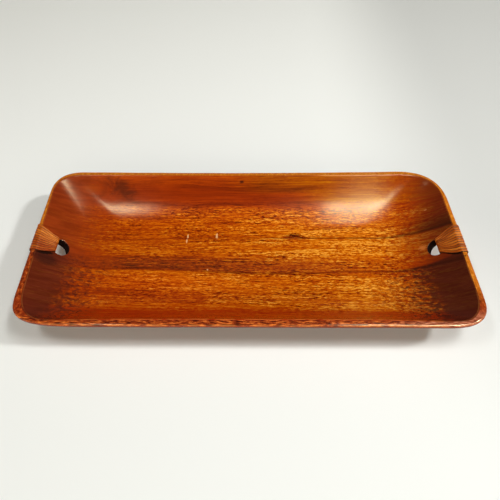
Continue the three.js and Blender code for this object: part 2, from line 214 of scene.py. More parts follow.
class Stretch:
    """One arc or straight of the wall's section. A negative radius is hollow, and zero is straight."""

    def __init__(self, name, point, angle, start, radius, to_angle=None, length=None):
        self.name = name
        self.point = point
        self.angle = angle
        self.start = start
        self.radius = radius
        self.length = length
        if radius:
            self.centre = point - radius * self.normal(angle)
            self.length = abs(radius * (to_angle - angle))

    @staticmethod
    def normal(angle):
        return Vector((cos(angle), sin(angle)))

    def at(self, distance):
        """The point and the outward normal's angle at a distance along the stretch."""
        if not self.radius:
            along = Vector((sin(self.angle), -cos(self.angle)))
            return self.point + distance * along, self.angle
        angle = self.angle - distance / self.radius
        return self.centre + self.radius * self.normal(angle), angle


def wall_section():
    """The end wall's section, from the floor's edge up over the rim and down to the underside's edge."""
    foot, rim = radians(INNER_FOOT_SLOPE), radians(INNER_RIM_SLOPE)
    top, base = radians(OUTER_RIM_SLOPE), radians(OUTER_BASE_SLOPE)
    level = pi / 2
    foot_rise = INNER_FOOT_RADIUS * (1 - cos(foot))
    inner_rise = HEIGHT - FLOOR_THICKNESS - foot_rise - INNER_EDGE_RADIUS * (1 - cos(rim))
    band_rise = BAND_HEIGHT + BAND_EDGE_RADIUS * cos(top)
    base_rise = BASE_EDGE_RADIUS * (1 - cos(base))
    outer_radius = (HEIGHT - band_rise - base_rise) / (cos(base) - cos(top))
    plan = [
        ("foot", -INNER_FOOT_RADIUS, level + foot, None),
        ("inner", -inner_rise / (cos(foot) - cos(rim)), level + rim, None),
        ("inner_edge", INNER_EDGE_RADIUS, level, None),
        ("top", 0, None, RIM_WIDTH_END - OUTER_EDGE_RADIUS),
        ("outer_edge", OUTER_EDGE_RADIUS, 0, None),
        ("band", 0, None, BAND_HEIGHT - OUTER_EDGE_RADIUS),
        ("band_edge", BAND_EDGE_RADIUS, top - level, None),
        ("outer", outer_radius, base - level, None),
        ("base_edge", BASE_EDGE_RADIUS, -level, None),
    ]
    stretches = []
    point, angle, start = Vector((0, FLOOR_THICKNESS)), level, 0
    for name, radius, to_angle, length in plan:
        stretch = Stretch(name, point, angle, start, radius, to_angle, length)
        stretches.append(stretch)
        point, angle = stretch.at(stretch.length)
        start += stretch.length
    band = next(s for s in stretches if s.name == "band")
    shift = Vector((LENGTH / 2 - band.point.x, 0))
    for stretch in stretches:
        stretch.point = stretch.point + shift
        if stretch.radius:
            stretch.centre = stretch.centre + shift
    return {stretch.name: stretch for stretch in stretches}


SECTION = wall_section()


def on_section(distance):
    """The point and normal's angle at a distance along the whole section."""
    for stretch in SECTION.values():
        if distance <= stretch.start + stretch.length:
            return stretch.at(distance - stretch.start)
    return stretch.at(stretch.length)


def hole_frame():
    """The hole in the section's plane: its centre, the drill's way down, and the way up to the rim."""
    inner = SECTION["inner"]
    height = inner.centre.y - sqrt(inner.radius ** 2 - (HOLE_REACH - inner.centre.x) ** 2)
    tilt = radians(HOLE_TILT)
    down = Vector((sin(tilt), -cos(tilt)))
    rimward = Vector((cos(tilt), sin(tilt)))
    return Vector((HOLE_REACH, height)), down, rimward


HOLE_CENTRE, HOLE_DOWN, HOLE_RIMWARD = hole_frame()


def mouth_edge(face, rimward):
    """Where a line down the drill's way, so far rimward of its axis, meets one face of the end wall."""
    start = HOLE_CENTRE + rimward * HOLE_RIMWARD
    to_line = start - face.centre
    half = to_line.dot(HOLE_DOWN)
    depth = -half + sqrt(half ** 2 - to_line.length_squared + face.radius ** 2)
    point = start + depth * HOLE_DOWN
    normal = (point - face.centre) / face.radius
    distance = face.start + face.radius * (face.angle - atan2(normal.y, normal.x))
    return point, normal, depth, distance


def hand_made(point, innerness):
    """Moves a point as the maker's eye and hand did. Innerness is 1 on the inside and 0 on the outside."""
    end = copysign(1, point.x)
    outer, inner, lean = ENDS_DRAWN_IN[end]
    # Nought up to two thirds of the way to the end, and 1 at the end
    near_end = min(1, max(0, abs(point.x) / (LENGTH / 2) * 3 - 2))
    drawn_in = outer + (inner - lean * point.y - outer) * innerness
    sheared = point.x - SIDE_SHEAR * point.y / (WIDTH / 2) - end * near_end * drawn_in
    tapered = point.y * (1 + END_TAPER * point.x / (LENGTH / 2))
    return Vector((sheared, tapered, point.z))


def back_hollow(x, y):
    """How far the back side is planed hollow at a point of the plan."""
    reach = LENGTH / 2 - OUTER_CORNERS[0][0]
    along = max(0, 1 - (x / reach) ** 2)
    return BACK_HOLLOW * along * max(0, y / (WIDTH / 2)) ** 2


def front_bulge(x, y):
    """How far the bowl's inside is cut forward beside its front corners."""
    along = min(1, max(0, (abs(x) - BULGE_START) / BULGE_SPAN))
    return FRONT_CORNER_BULGE * along ** 2 * (3 - 2 * along) * max(0, -y / (WIDTH / 2)) ** 3


def corner_arc(centre, reach, sign_x, sign_y, squareness):
    """A quarter of a squared-off oval, run anticlockwise."""
    arc = []
    for i in range(CORNER_STEPS + 1):
        turn = pi / 2 * i / CORNER_STEPS
        major = max(0, cos(turn)) ** (2 / squareness)
        minor = max(0, sin(turn)) ** (2 / squareness)
        x, y = (major, minor) if sign_x == sign_y else (minor, major)
        arc.append(Vector((centre.x + sign_x * reach.x * x, centre.y + sign_y * reach.y * y)))
    return arc


def plan_ring(row):
    """A row's closed outline in plan: a rounded rectangle at its inset, its last point on its first."""
    half_length = row["right"] - row["inset"]
    half_depth = (row["back"] - row["front"]) / 2 - row["inset"]
    middle = (row["back"] + row["front"]) / 2
    arcs = []
    for (along, across, square), (sign_x, sign_y) in zip(row["corners"], CORNER_SIGNS):
        reach = Vector((along, across)) * min(1, half_depth / across)
        centre = Vector((sign_x * (half_length - reach.x), middle + sign_y * (half_depth - reach.y)))
        squareness = square + (FLOOR_SQUARENESS - square) * row["depth"]
        arcs.append(corner_arc(centre, reach, sign_x, sign_y, squareness))
    ring = []
    for index, arc in enumerate(arcs):
        following = arcs[(index + 1) % len(arcs)][0]
        steps = LONG_SIDE_STEPS if index % 2 == 0 else END_STEPS
        ring += arc + [arc[-1].lerp(following, i / steps) for i in range(1, steps)]
    ring.append(ring[0])
    bulge = front_bulge if row["inner"] else lambda x, y: 0
    return [Vector((p.x, p.y - back_hollow(p.x, p.y) - bulge(p.x, p.y), row["height"])) for p in ring]


def bowl_rows():
    """The rows of the bowl's skin, from the underside's middle, over the rim, to the floor's middle."""
    def sides_of(corners, inner, end, back, front):
        plan = {"right": LENGTH / 2 - end, "back": WIDTH / 2 - back}
        plan["front"] = -WIDTH / 2 + FRONT_DRAWN_IN + front
        return {**plan, "corners": corners, "inner": inner}

    outer = sides_of(OUTER_CORNERS, False, 0, 0, 0)
    inner = sides_of(INNER_CORNERS, True, RIM_WIDTH_END, RIM_WIDTH_BACK, RIM_WIDTH_FRONT)

    def row(sides, point, distance):
        depth = min(1, (HEIGHT - point.y) / (HEIGHT - FLOOR_THICKNESS))
        return {**sides, "inset": sides["right"] - point.x, "height": point.y, "depth": depth, "at": distance}

    rows = []
    for name, stretch in SECTION.items():
        sides = inner if stretch.start < SECTION["top"].start else outer
        if name == "top":
            continue
        long_one = stretch.length > 2 * FLAT_ROW_STEP
        step = ROW_STEP if long_one else stretch.length / SHORT_STRETCH_ROWS
        steps = max(2, round(stretch.length / step))
        opens = name in ("foot", "outer_edge")
        for i in range(0 if opens else 1, steps + 1):
            distance = stretch.length * i / steps
            rows.append(row(sides, stretch.at(distance)[0], stretch.start + distance))
    for end, sides in ((0, inner), (-1, outer)):
        edge = rows[end]
        half_depth = (sides["back"] - sides["front"]) / 2 - edge["inset"]
        steps = round(half_depth / FLAT_ROW_STEP)
        flats = [{**edge, "inset": edge["inset"] + half_depth * i / steps} for i in range(1, steps + 1)]
        rows = flats[::-1] + rows if end == 0 else rows + flats
    return rows[::-1]


def uneven(point):
    """A slow hand-sanded unevenness, which fades out where the bowl stands on its underside."""
    drift = noise.noise_vector(point / UNEVENNESS_SPAN)
    drift.z *= min(1, point.z / FLOOR_THICKNESS)
    return point + UNEVENNESS * drift


def wall_place(end, distance, across, lift=0.0):
    """A point on the end wall at a distance along its section, and its normal. End is 1 or -1."""
    point, angle = on_section(distance)
    normal = Vector((end * cos(angle), 0, sin(angle)))
    place = Vector((end * point.x, across, point.y))
    return place + lift * normal, normal


def skin_of(columns, rows, place, *marks):
    """A grid of columns and rows, each of its points put where place says, and layers for its marks."""
    bm = bmesh.new()
    for mark in marks:
        bm.verts.layers.float.new(mark)
    bmesh.ops.create_grid(bm, x_segments=columns, y_segments=rows, size=1, calc_uvs=False)
    grid = {}
    for vertex in bm.verts:
        i = round((vertex.co.x + 1) / 2 * columns)
        j = round((vertex.co.y + 1) / 2 * rows)
        grid[i, j] = vertex
        vertex.co = place(i, j)
    return bm, grid


def put_in_scene(bm, name, *materials):
    mesh = bpy.data.meshes.new(name)
    bm.to_mesh(mesh)
    bm.free()
    for material in materials:
        mesh.materials.append(material)
    made = bpy.data.objects.new(name, mesh)
    SCENE.collection.objects.link(made)
    return made


def layers(bm, *marks):
    return (bm.verts.layers.float[mark] for mark in marks)


def finish_piece(bm, name, materials, node):
    """Turns a bmesh in millimetres into a smooth piece that stands for a node."""
    bmesh.ops.recalc_face_normals(bm, faces=bm.faces)
    bmesh.ops.scale(bm, vec=(MM, MM, MM), verts=bm.verts)
    for face in bm.faces:
        face.smooth = True
    piece = put_in_scene(bm, name, *materials)
    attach(piece, "root")
    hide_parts(node)


def patch_centres(rows, rings):
    """For each end and face, the column and the row of the skin that cross in a hole's mouth."""
    side = CORNER_STEPS + LONG_SIDE_STEPS + CORNER_STEPS
    centres = {}
    for face in ("inner", "outer"):
        middle = mouth_edge(SECTION[face], 0)[3]
        row = min(range(len(rows)), key=lambda j: abs(rows[j]["at"] - middle))
        for end, first in ((-1, side), (1, 2 * side + END_STEPS)):
            columns = range(first, first + END_STEPS)
            centres[end, face] = min(columns, key=lambda i: abs(rings[row][i].y - HOLE_SIDE)), row
    return centres


def bowl(material, shaded_hole_wood):
    # Unseeded, noise_vector goes by the clock and gives another unevenness each run
    noise.seed_set(UNEVENNESS_SEED)
    rows = bowl_rows()
    rings = [plan_ring(row) for row in rows]
    columns = len(rings[0]) - 1
    marks = ("worn_and_glinting_edge", "innerness", "bored")
    bm, grid = skin_of(columns, len(rows) - 1, lambda i, j: rings[j][i], *marks)
    worn_and_glinting, innerness, bored = layers(bm, *marks)
    for (_, j), vertex in grid.items():
        vertex[worn_and_glinting] = edge_wear(rows[j])
        vertex[innerness] = inner_share(rows[j]["at"])
    doomed = []
    reach = range(-PATCH_HALF, PATCH_HALF + 1)
    centres = patch_centres(rows, rings)
    for (end, face), (middle_column, middle_row) in centres.items():
        for i, j in ((i, j) for i in reach for j in reach):
            vertex = grid[middle_column + i, middle_row + j]
            square = max(abs(i), abs(j))
            if square < OPENING_HALF:
                doomed.append(vertex)
                continue
            share = (square - OPENING_HALF) / (PATCH_HALF - OPENING_HALF)
            angle = atan2(end * i, -j if face == "inner" else j)
            place = (rows[middle_row + j]["at"], vertex.co.y)
            vertex.co = round_the_mouth(SECTION[face], end, angle, place, share)
    bmesh.ops.delete(bm, geom=doomed, context="VERTS")
    for end, face in centres:
        mouth_lip(bm, SECTION[face], end)
    bmesh.ops.remove_doubles(bm, verts=bm.verts, dist=SKIN_WELD)
    for vertex in bm.verts:
        vertex.co = hand_made(uneven(vertex.co), vertex[innerness])
    for face in bm.faces:
        face.material_index = int(min(vertex[bored] for vertex in face.verts) > 0.5)
    finish_piece(bm, "carved_bowl", (material, shaded_hole_wood), "tray_body")


def inner_share(distance):
    """1 up to the rim's inner edge, 0 from its outer edge on, and in between across the rim."""
    start, finish = SECTION["top"].start, SECTION["outer_edge"].start
    return min(1, max(0, (finish - distance) / (finish - start)))


def edge_wear(row):
    """How much a row of the skin lies on a rim edge painted pale, for its wear and as painted highlight, from
    0 to 1.
    """
    wear = 0
    for name, most in MOST_WEAR_AND_GLINT.items():
        stretch = SECTION[name]
        off = abs(row["at"] - stretch.start - stretch.length / 2) / (stretch.length / 2)
        wear = max(wear, most * (1 - off))
    return wear


def round_the_mouth(face, end, angle, place, share):
    """Moves a point of the patch about a mouth: on the mouth's rounded edge at share 0, in place at 1."""
    reach = HOLE_RADIUS + MOUTH_ROUNDING
    edge = Vector((mouth_edge(face, reach * cos(angle))[3], HOLE_SIDE + reach * sin(angle)))
    ease = share * (MOUTH_EASE + (1 - MOUTH_EASE) * share)
    distance, across = edge.lerp(Vector(place), ease)
    return wall_place(end, distance, across)[0]


def mouth_lip(bm, face, end):
    """Rolls the open edge of a mouth over into the hole and runs it halfway down the hole's wall."""
    inward = face.name == "inner"
    innerness, bored = layers(bm, "innerness", "bored")
    middle = Vector((end * HOLE_CENTRE.x, HOLE_SIDE, HOLE_CENTRE.y))
    halfway = mouth_edge(SECTION["outer"], 0)[2] / 2
    edges = []
    for edge in bm.edges:
        place = edge.verts[0].co
        if edge.is_boundary and (place - middle).length < 2 * HOLE_RADIUS:
            if (depth_of(place, end) < halfway) == inward:
                edges.append(edge)
    for step in range(1, MOUTH_STEPS + 2):
        turn = pi / 2 * min(1, step / MOUTH_STEPS)
        before = {vertex for edge in edges for vertex in edge.verts}
        grown = bmesh.ops.extrude_edge_only(bm, edges=edges)["geom"]
        edges = [item for item in grown if isinstance(item, bmesh.types.BMEdge) and item.is_boundary]
        for vertex in {vertex for edge in edges for vertex in edge.verts} - before:
            angle = angle_of(vertex.co, end)
            radius = HOLE_RADIUS + MOUTH_ROUNDING * (1 - sin(turn))
            roll = MOUTH_ROUNDING * (1 - cos(turn))
            depth = mouth_edge(face, (HOLE_RADIUS + MOUTH_ROUNDING) * cos(angle))[2]
            depth += roll if inward else -roll
            vertex[bored] = min(1, step / MOUTH_STEPS)
            if step > MOUTH_STEPS:
                depth = halfway
                vertex[innerness] = 0.5
            vertex.co = in_hole(end, radius * cos(angle), radius * sin(angle), depth)


def depth_of(place, end):
    """How deep a place lies along the drill's way, from the inner face's centre of the hole."""
    flat = Vector((end * place.x, place.z)) - HOLE_CENTRE
    return flat.dot(HOLE_DOWN)


def angle_of(place, end):
    """The angle of a place round the hole's axis, nought towards the rim."""
    flat = Vector((end * place.x, place.z)) - HOLE_CENTRE
    return atan2(place.y - HOLE_SIDE, flat.dot(HOLE_RIMWARD))


def in_hole(end, rimward, across, depth):
    """A place in the hole from its offsets off the drill's axis and its depth down it."""
    flat = HOLE_CENTRE + rimward * HOLE_RIMWARD + depth * HOLE_DOWN
    return Vector((end * flat.x, HOLE_SIDE + across, flat.y))


class Crossing:
    """A strip's bend round one mouth: its spot in the hole, its way out of it and its size there."""

    def __init__(self, fan, face_name, order, rim_across):
        slant = radians(fan["slant"])
        middle = Vector((cos(slant), sin(slant)))
        along = Vector((-middle.y, middle.x))
        self.face = SECTION[face_name]
        self.inward = face_name == "inner"
        self.spot = fan["reach"] * middle + MOUTH_PITCH * order * along
        rim_end = self.face.at(self.face.length if self.inward else 0)[0]
        target = Vector(((rim_end - HOLE_CENTRE).dot(HOLE_RIMWARD), rim_across - HOLE_SIDE))
        self.way = (target - self.spot).normalized()
        self.thickness = STRIP_AREA / MOUTH_PITCH
        self.radius = STRIP_BED * self.thickness + BEND_CLEARANCE
        self.middle = self.spot + (1 - STRIP_BED) * self.thickness * self.way
        self.centre = self.middle + self.radius * self.way
        _, self.normal, self.face_depth, self.distance = mouth_edge(self.face, self.centre.x)
        self.depth = self.face_depth + (BEND_CLEARANCE if self.inward else -BEND_CLEARANCE)


class Turns:
    """The way of one cane winding: where the strip's middle runs, turn by turn."""

    def __init__(self, side):
        self.end = 1 if side == "right" else -1
        self.fan = FANS[side]
        turns = range(-1, TURNS + 2)
        self.ins = {t: Crossing(self.fan, "inner", self.order(t), self.low(t)) for t in turns}
        self.outs = {t: Crossing(self.fan, "outer", self.order(t - 0.5), self.high(t - 0.5)) for t in turns}
        rise, fall = SECTION["inner_edge"].start, SECTION["outer"].start
        self.ups = {t: self.curve(self.ins[t], rise, self.low(t)) for t in turns}
        self.downs = {t: self.curve(self.outs[t + 1], fall, self.high(t)) for t in turns[:-1]}

    @staticmethod
    def order(turn):
        """A turn's place in the row of turns, counted from the middle one."""
        return turn - (TURNS - 1) / 2

    def low(self, turn):
        return self.fan["low"] + self.fan["low_pitch"] * self.order(turn)

    def high(self, turn):
        return self.fan["high"] + RIM_PITCH * self.order(turn)

    def curve(self, crossing, rim_distance, rim_across):
        """The four points of the curve that a strip follows on one face, from a mouth to the rim."""
        start = Vector((crossing.distance, HOLE_SIDE + crossing.centre.y))
        finish = Vector((rim_distance, rim_across))
        to_rim = 1 if rim_distance > start.x else -1
        level = Vector((finish.x - to_rim * self.fan["level"], finish.y))
        turning = level.lerp(start.lerp(finish, FAN_TURNS), FAN_LEVELS)
        return start, start.lerp(finish, FAN_HOLDS), turning, finish

    @staticmethod
    def on_curve(curve, share):
        a, b, c, d = curve
        left = 1 - share
        return left ** 3 * a + 3 * left ** 2 * share * b + 3 * left * share ** 2 * c + share ** 3 * d

    def fan_width(self, curves, turn, share):
        """The strip's width where its neighbours on both sides leave it just room enough."""
        here = self.on_curve(curves[turn], share)
        way = (self.on_curve(curves[turn], share + 0.01) - here).normalized()
        spaces = []
        for beside in (turn - 1, turn + 1):
            gap = self.on_curve(curves[beside], share) - here
            spaces.append(abs(way.x * gap.y - way.y * gap.x))
        return sum(spaces) / 2

    def places(self):
        """Middle, outward normal, width and innerness at each place along the whole strip."""
        start, finish = SECTION["inner_edge"].start, SECTION["outer"].start
        for turn in range(TURNS):
            for i in range(1, HOLE_STEPS):
                yield self.inside(self.outs[turn], self.ins[turn], i / HOLE_STEPS)
            for i in range(BEND_STEPS + 1):
                yield self.at_mouth(self.ins[turn], i / BEND_STEPS)
            for i in range(1, FAN_STEPS):
                yield self.on_fan(self.ups, turn, i / FAN_STEPS)
            for i in range(RIM_STEPS + 1):
                share = i / RIM_STEPS
                across = self.low(turn) + (self.high(turn) - self.low(turn)) * share
                pitch = self.fan["low_pitch"] + (RIM_PITCH - self.fan["low_pitch"]) * share
                yield self.on_wall(start + (finish - start) * share, across, pitch)
            for i in range(FAN_STEPS - 1, 0, -1):
                yield self.on_fan(self.downs, turn, i / FAN_STEPS)
            for i in range(BEND_STEPS, -1, -1):
                yield self.at_mouth(self.outs[turn + 1], i / BEND_STEPS)
        for i in range(1, TAIL_STEPS + 1):
            yield self.inside(self.outs[TURNS], self.ins[TURNS], i / HOLE_STEPS)

    def inside(self, below, above, share):
        middle = below.middle.lerp(above.middle, share)
        way = below.way.lerp(above.way, share).normalized()
        depth = below.depth + (above.depth - below.depth) * share
        inward = way.x * HOLE_RIMWARD
        normal = -Vector((self.end * inward.x, way.y, inward.y))
        return in_hole(self.end, middle.x, middle.y, depth), normal, MOUTH_PITCH, share

    def at_mouth(self, crossing, bend):
        """A place on the strip's bend round a mouth: bend 0 is in the hole and 1 is on the face."""
        turn = pi / 2 * bend
        inward = crossing.way.x * HOLE_RIMWARD
        out = -cos(turn) * Vector((self.end * inward.x, crossing.way.y, inward.y))
        out += sin(turn) * Vector((self.end * crossing.normal.x, 0, crossing.normal.y))
        out.normalize()
        centre = in_hole(self.end, crossing.centre.x, crossing.centre.y, crossing.depth)
        return centre + crossing.radius * out, out, MOUTH_PITCH, float(crossing.inward)

    def on_fan(self, curves, turn, share):
        at = self.on_curve(curves[turn], share)
        return self.on_wall(at.x, at.y, self.fan_width(curves, turn, share))

    def on_wall(self, distance, across, width):
        place, normal = wall_place(self.end, distance, across, STRIP_BED * STRIP_AREA / width)
        return place, normal, width, inner_share(distance)


def strip_section(width):
    """A domed face over a flatter back, as places across and up. A strip squeezed narrow gets thick."""
    thickness = STRIP_AREA / width
    section = []
    for k in range(STRIP_SIDES):
        turn = 2 * pi * k / STRIP_SIDES
        across = copysign(abs(cos(turn)) ** STRIP_SQUARENESS, cos(turn))
        across *= width * (1 + STRIP_OVERLAP) / 2
        up = sin(turn) * thickness * (1 - STRIP_BED if sin(turn) > 0 else STRIP_BED)
        section.append((across, up))
    return section + section[:1]


def cane_winding(side, material):
    places = list(Turns(side).places())
    rings = []
    lengths = [0.0]
    for n, (middle, normal, width, innerness) in enumerate(places):
        before, after = places[max(0, n - 1)][0], places[min(len(places) - 1, n + 1)][0]
        way = (after - before).normalized()
        out = (normal - normal.dot(way) * way).normalized()
        side_way = out.cross(way)
        wobble = 1 + STRIP_WOBBLE * noise.noise(Vector((n * WOBBLE_STEP, side == "left", 3)))
        ring = strip_section(width * wobble)
        rings.append([hand_made(middle + a * side_way + up * out, innerness) for a, up in ring])
        if n:
            lengths.append(lengths[-1] + (middle - places[n - 1][0]).length)
    marks = ("along_strip", "across_strip")
    bm, grid = skin_of(STRIP_SIDES, len(rings) - 1, lambda i, j: rings[j][i], *marks)
    along, across = layers(bm, *marks)
    for (i, j), vertex in grid.items():
        vertex[along] = lengths[j]
        vertex[across] = cos(2 * pi * i / STRIP_SIDES)
    bmesh.ops.remove_doubles(bm, verts=bm.verts, dist=STRIP_WELD)
    bmesh.ops.holes_fill(bm, edges=[e for e in bm.edges if e.is_boundary], sides=0)
    finish_piece(bm, f"cane_winding_{side}", (material,), f"cane_wrap_{side}")


class Finish:
    """The look of a material or of the room, built a node at a time."""

    def __init__(self, owner):
        self.owner = owner
        owner.use_nodes = True
        self.tree = owner.node_tree
        self.tree.nodes.clear()

    def feed(self, socket, value):
        """Links another node's output to a socket, or sets a plain value on it."""
        if isinstance(value, bpy.types.NodeSocket):
            self.tree.links.new(value, socket)
        elif value is not None:
            socket.default_value = value

    def node(self, kind, inputs=(), **settings):
        made = self.tree.nodes.new(kind)
        for key, value in settings.items():
            setattr(made, key, value)
        for key, value in dict(inputs).items():
            self.feed(made.inputs[key], value)
        return made

    def math(self, operation, result, *others, clamp=False):
        """Works on one value alone, or takes several together two at a time."""
        for value in others or (None,):
            inputs = {0: result, 1: value}
            made = self.node("ShaderNodeMath", inputs, operation=operation, use_clamp=clamp)
            result = made.outputs[0]
        return result

    def add(self, *values):
        return self.math("ADD", *values)

    def times(self, *values):
        return self.math("MULTIPLY", *values)

    def less(self, a, b):
        return self.math("SUBTRACT", a, b)

    def greater(self, a, b):
        return self.math("MAXIMUM", a, b)

    def cells(self, a, b, size, seed=0, detail=2, roughness=0.5, distortion=0):
        """Smooth noise, in cells so long along a and so broad along b."""
        place = {"X": self.times(a, 1 / size[0]), "Y": self.times(b, 1 / size[1]), "Z": seed}
        return self.node("ShaderNodeTexNoise", {
            "Vector": self.node("ShaderNodeCombineXYZ", place).outputs[0],
            "Scale": 1, "Detail": detail, "Roughness": roughness, "Distortion": distortion,
        }).outputs["Fac"]

    def about_nought(self, share, size):
        """A share from 0 to 1 moved to lie about nought, and made so large."""
        return self.times(self.less(share, 0.5), size)

    def rise(self, value, low, high, to_low=0, to_high=1):
        """Goes smoothly from to_low to to_high as value goes from low to high."""
        inputs = {"Value": value, "From Min": low, "From Max": high, "To Min": to_low, "To Max": to_high}
        return self.node("ShaderNodeMapRange", inputs, interpolation_type="SMOOTHSTEP").outputs["Result"]

    def hump(self, value, middle, reach):
        """1 where value is at the middle, and 0 from the reach on."""
        return self.rise(self.math("ABSOLUTE", self.less(value, middle)), reach, 0)

    def ramp(self, value, stops):
        made = self.node("ShaderNodeValToRGB", {"Fac": value})
        elements = made.color_ramp.elements
        while len(elements) < len(stops):
            elements.new(0.5)
        for element, (position, colour) in zip(elements, stops):
            element.position = position
            element.color = tint(*colour)
        return made.outputs["Color"]

    def blend(self, share, a, b, mode="MIX"):
        made = self.node("ShaderNodeMix", {0: share, 6: a, 7: b}, data_type="RGBA", blend_type=mode)
        return made.outputs[2]

    def mark(self, name):
        """A number that the mesh carries at each of its points."""
        return self.node("ShaderNodeAttribute", attribute_name=name).outputs["Fac"]

    def coordinate(self, kind="Object"):
        return self.node("ShaderNodeTexCoord").outputs[kind]

    def coordinates(self, kind="Object"):
        return self.node("ShaderNodeSeparateXYZ", {0: self.coordinate(kind)}).outputs

    def seen(self):
        """1 for what the lens sees straight, and 0 for light and for reflections."""
        return self.node("ShaderNodeLightPath").outputs["Is Camera Ray"]

    def surface(self, colour, roughness, specular, specular_tint=None, bump=None):
        """A plain surface. The bump is its height, its strength and its depth in metres."""
        normal = None
        if bump:
            heights = dict(zip(("Height", "Strength", "Distance"), bump))
            normal = self.node("ShaderNodeBump", heights).outputs[0]
        return self.node("ShaderNodeBsdfPrincipled", {
            "Base Color": colour,
            "Roughness": roughness,
            "Specular IOR Level": specular,
            "Specular Tint": specular_tint,
            "Normal": normal,
        })

    def close(self, shader, kind="ShaderNodeOutputMaterial"):
        self.feed(self.node(kind).inputs["Surface"], shader.outputs[0])
        return self.owner


def tint(red, green, blue):
    """A colour as the eye reads it, 0 to 255, made linear."""
    shares = (c / 255 for c in (red, green, blue))
    return (*(c / 12.92 if c <= 10 / 255 else ((c + 0.055) / 1.055) ** 2.4 for c in shares), 1)


# In the looks of the wood, x and y are places in plan and w is a place across the grain, all in
# millimetres. Each rise and hump has the places between which a tone comes and goes.


class Board:
    """Where a point lies on the oiled board, and how it was worked there."""

    def __init__(self, f):
        place = f.coordinates()
        self.x, self.y, self.z = (f.times(place[k], 1 / MM) for k in range(3))
        self.along = f.math("ABSOLUTE", self.x)
        lean = f.add(self.y, f.times(f.less(self.z, FLOOR_THICKNESS), GRAIN_LEAN))
        wander = f.cells(self.x, lean, (150, 60), detail=1)
        skew = f.times(self.x, GRAIN_SKEW, f.rise(self.y, 30, 0))
        self.w = f.add(lean, f.about_nought(wander, GRAIN_WANDER), skew)
        self.band = f.times(f.rise(self.w, -17.5, -14), f.rise(self.w, 9, -6))
        self.inner, self.wear, self.bored = map(f.mark, ("innerness", "worn_and_glinting_edge", "bored"))
        self.inside = f.rise(self.inner, 0.9, 1)


def hardwood():
    """Oiled reddish brown board: growth bands, short dark dashes along the grain, darker end grain."""
    f = Finish(bpy.data.materials.new("oiled_hardwood"))
    board = Board(f)
    colour = f.ramp(wood_tone(f, board), WOOD_TONES)
    for look in (long_bands, darker_ends, growth_lines, swirl, rim_tones, marks):
        colour = look(f, board, colour)
    # Painted shade: the rolled lip going into each hole is darkened
    colour = f.blend(board.bored, colour, tint(40, 18, 9))

    x, y = board.x, board.y
    pores = f.cells(x, board.w, (5, 0.8), 40)
    softer = f.times(f.hump(x, 134, 56), f.rise(y, 54, 70, 0, 0.14))
    softer_left = f.times(f.rise(x, -80, -130), f.rise(y, 45, 65, 0, 0.05))
    burnished = f.times(f.rise(x, 150, 180), f.rise(y, 50, 75, 0, 0.055))
    oiled = f.less(f.add(OILED_ROUGHNESS, softer, softer_left, f.times(pores, 0.07)), burnished)
    roughness = f.greater(oiled, f.times(board.bored, BORED_ROUGHNESS))
    return f.close(f.surface(colour, roughness, 0.5, OIL_SHINE, (pores, 0.7, 0.0001)))


def drilled_wood():
    """The wood lining a drilled hole, which holds no oil and no shine, painted near black as the shade deep
    in the hole.
    """
    f = Finish(bpy.data.materials.new("drilled_wood"))
    noise_inputs = {"Vector": f.coordinate(), "Scale": 900, "Detail": 3}
    rings = f.node("ShaderNodeTexNoise", noise_inputs).outputs["Fac"]
    # Near-black tones: painted shade deep in the hole
    colour = f.ramp(rings, ((0.3, (14, 6, 3)), (0.55, (30, 13, 7)), (0.75, (62, 28, 14))))
    return f.close(f.surface(colour, 1, 0.05, bump=(rings, 0.6, 0.0003)))


def wood_tone(f, board):
    """How light the wood is, from 0 to 1: its growth, its streaks and its ripple."""
    x, w = board.x, board.w
    figured = f.times(
        f.rise(w, 84, 66, 0.12, 1), f.rise(w, -84, -64, 0.5, 1),
        f.rise(board.along, 205, 165, 0.7, 1), f.rise(x, -170, 60, 0.75, 1.15),
    )
    streaked = f.rise(w, 72, 84, 1, 0.75)
    return f.add(
        MIDDLE_TONE, growth(f, board),
        f.times(streaks(f, x, w), streaked), f.times(ripple(f, x, w), figured),
    )


def growth(f, board):
    """The broad run of light and dark growth along the board, about nought."""
    x, y, w = board.x, board.y, board.w
    broad = f.about_nought(f.cells(x, w, (260, 13), 4), 0.36)
    # Lighter on the right of the floor: partly golden wood, partly painted sheen for the light that the floor
    # reflects there
    right_gold_and_sheen = f.times(f.rise(x, -110, 120), f.hump(y, 22, 66), 0.23)
    under_band = f.times(f.hump(w, -23, 9), f.rise(x, 20, -60, 0, 0.13))
    lower_gold = f.add(f.rise(x, -120, 60, 0.02, 0.11), f.rise(x, 60, 130, 0, 0.12))
    lower_reach = f.times(f.rise(x, 205, 165), f.rise(w, -18, -26), f.rise(w, -73, -63))
    foot_gold = f.times(f.hump(w, -68, 14), f.rise(x, 0, -80, 0.02, 0.18))
    tone = f.add(broad, right_gold_and_sheen, under_band, f.times(lower_gold, lower_reach), foot_gold)

    dark_patch = f.times(f.hump(w, -47, 13), f.rise(x, -80, -130, 0, 0.14))
    shaded = f.times(f.hump(w, 60, 17), f.rise(x, 40, -60, 0, 0.12))
    band_lines = f.rise(f.cells(x, w, (34, 1.3), 37, 2, 0.6), 0.46, 0.6)
    band_lines = f.times(band_lines, f.rise(x, 80, -60, 0.06, 0.3))
    banded = f.times(board.band, f.add(band_lines, f.rise(x, 70, -110, 0.08, 0.17)))
    back_band = f.times(f.rise(w, 72, 78), f.rise(w, 104, 90, 0.4, 1))
    back_band = f.times(back_band, f.rise(x, 120, 20, -0.06, 0.32))
    front_wall = f.times(f.rise(w, -66, -80), 0.1)
    return f.less(tone, f.add(dark_patch, shaded, banded, back_band, front_wall))


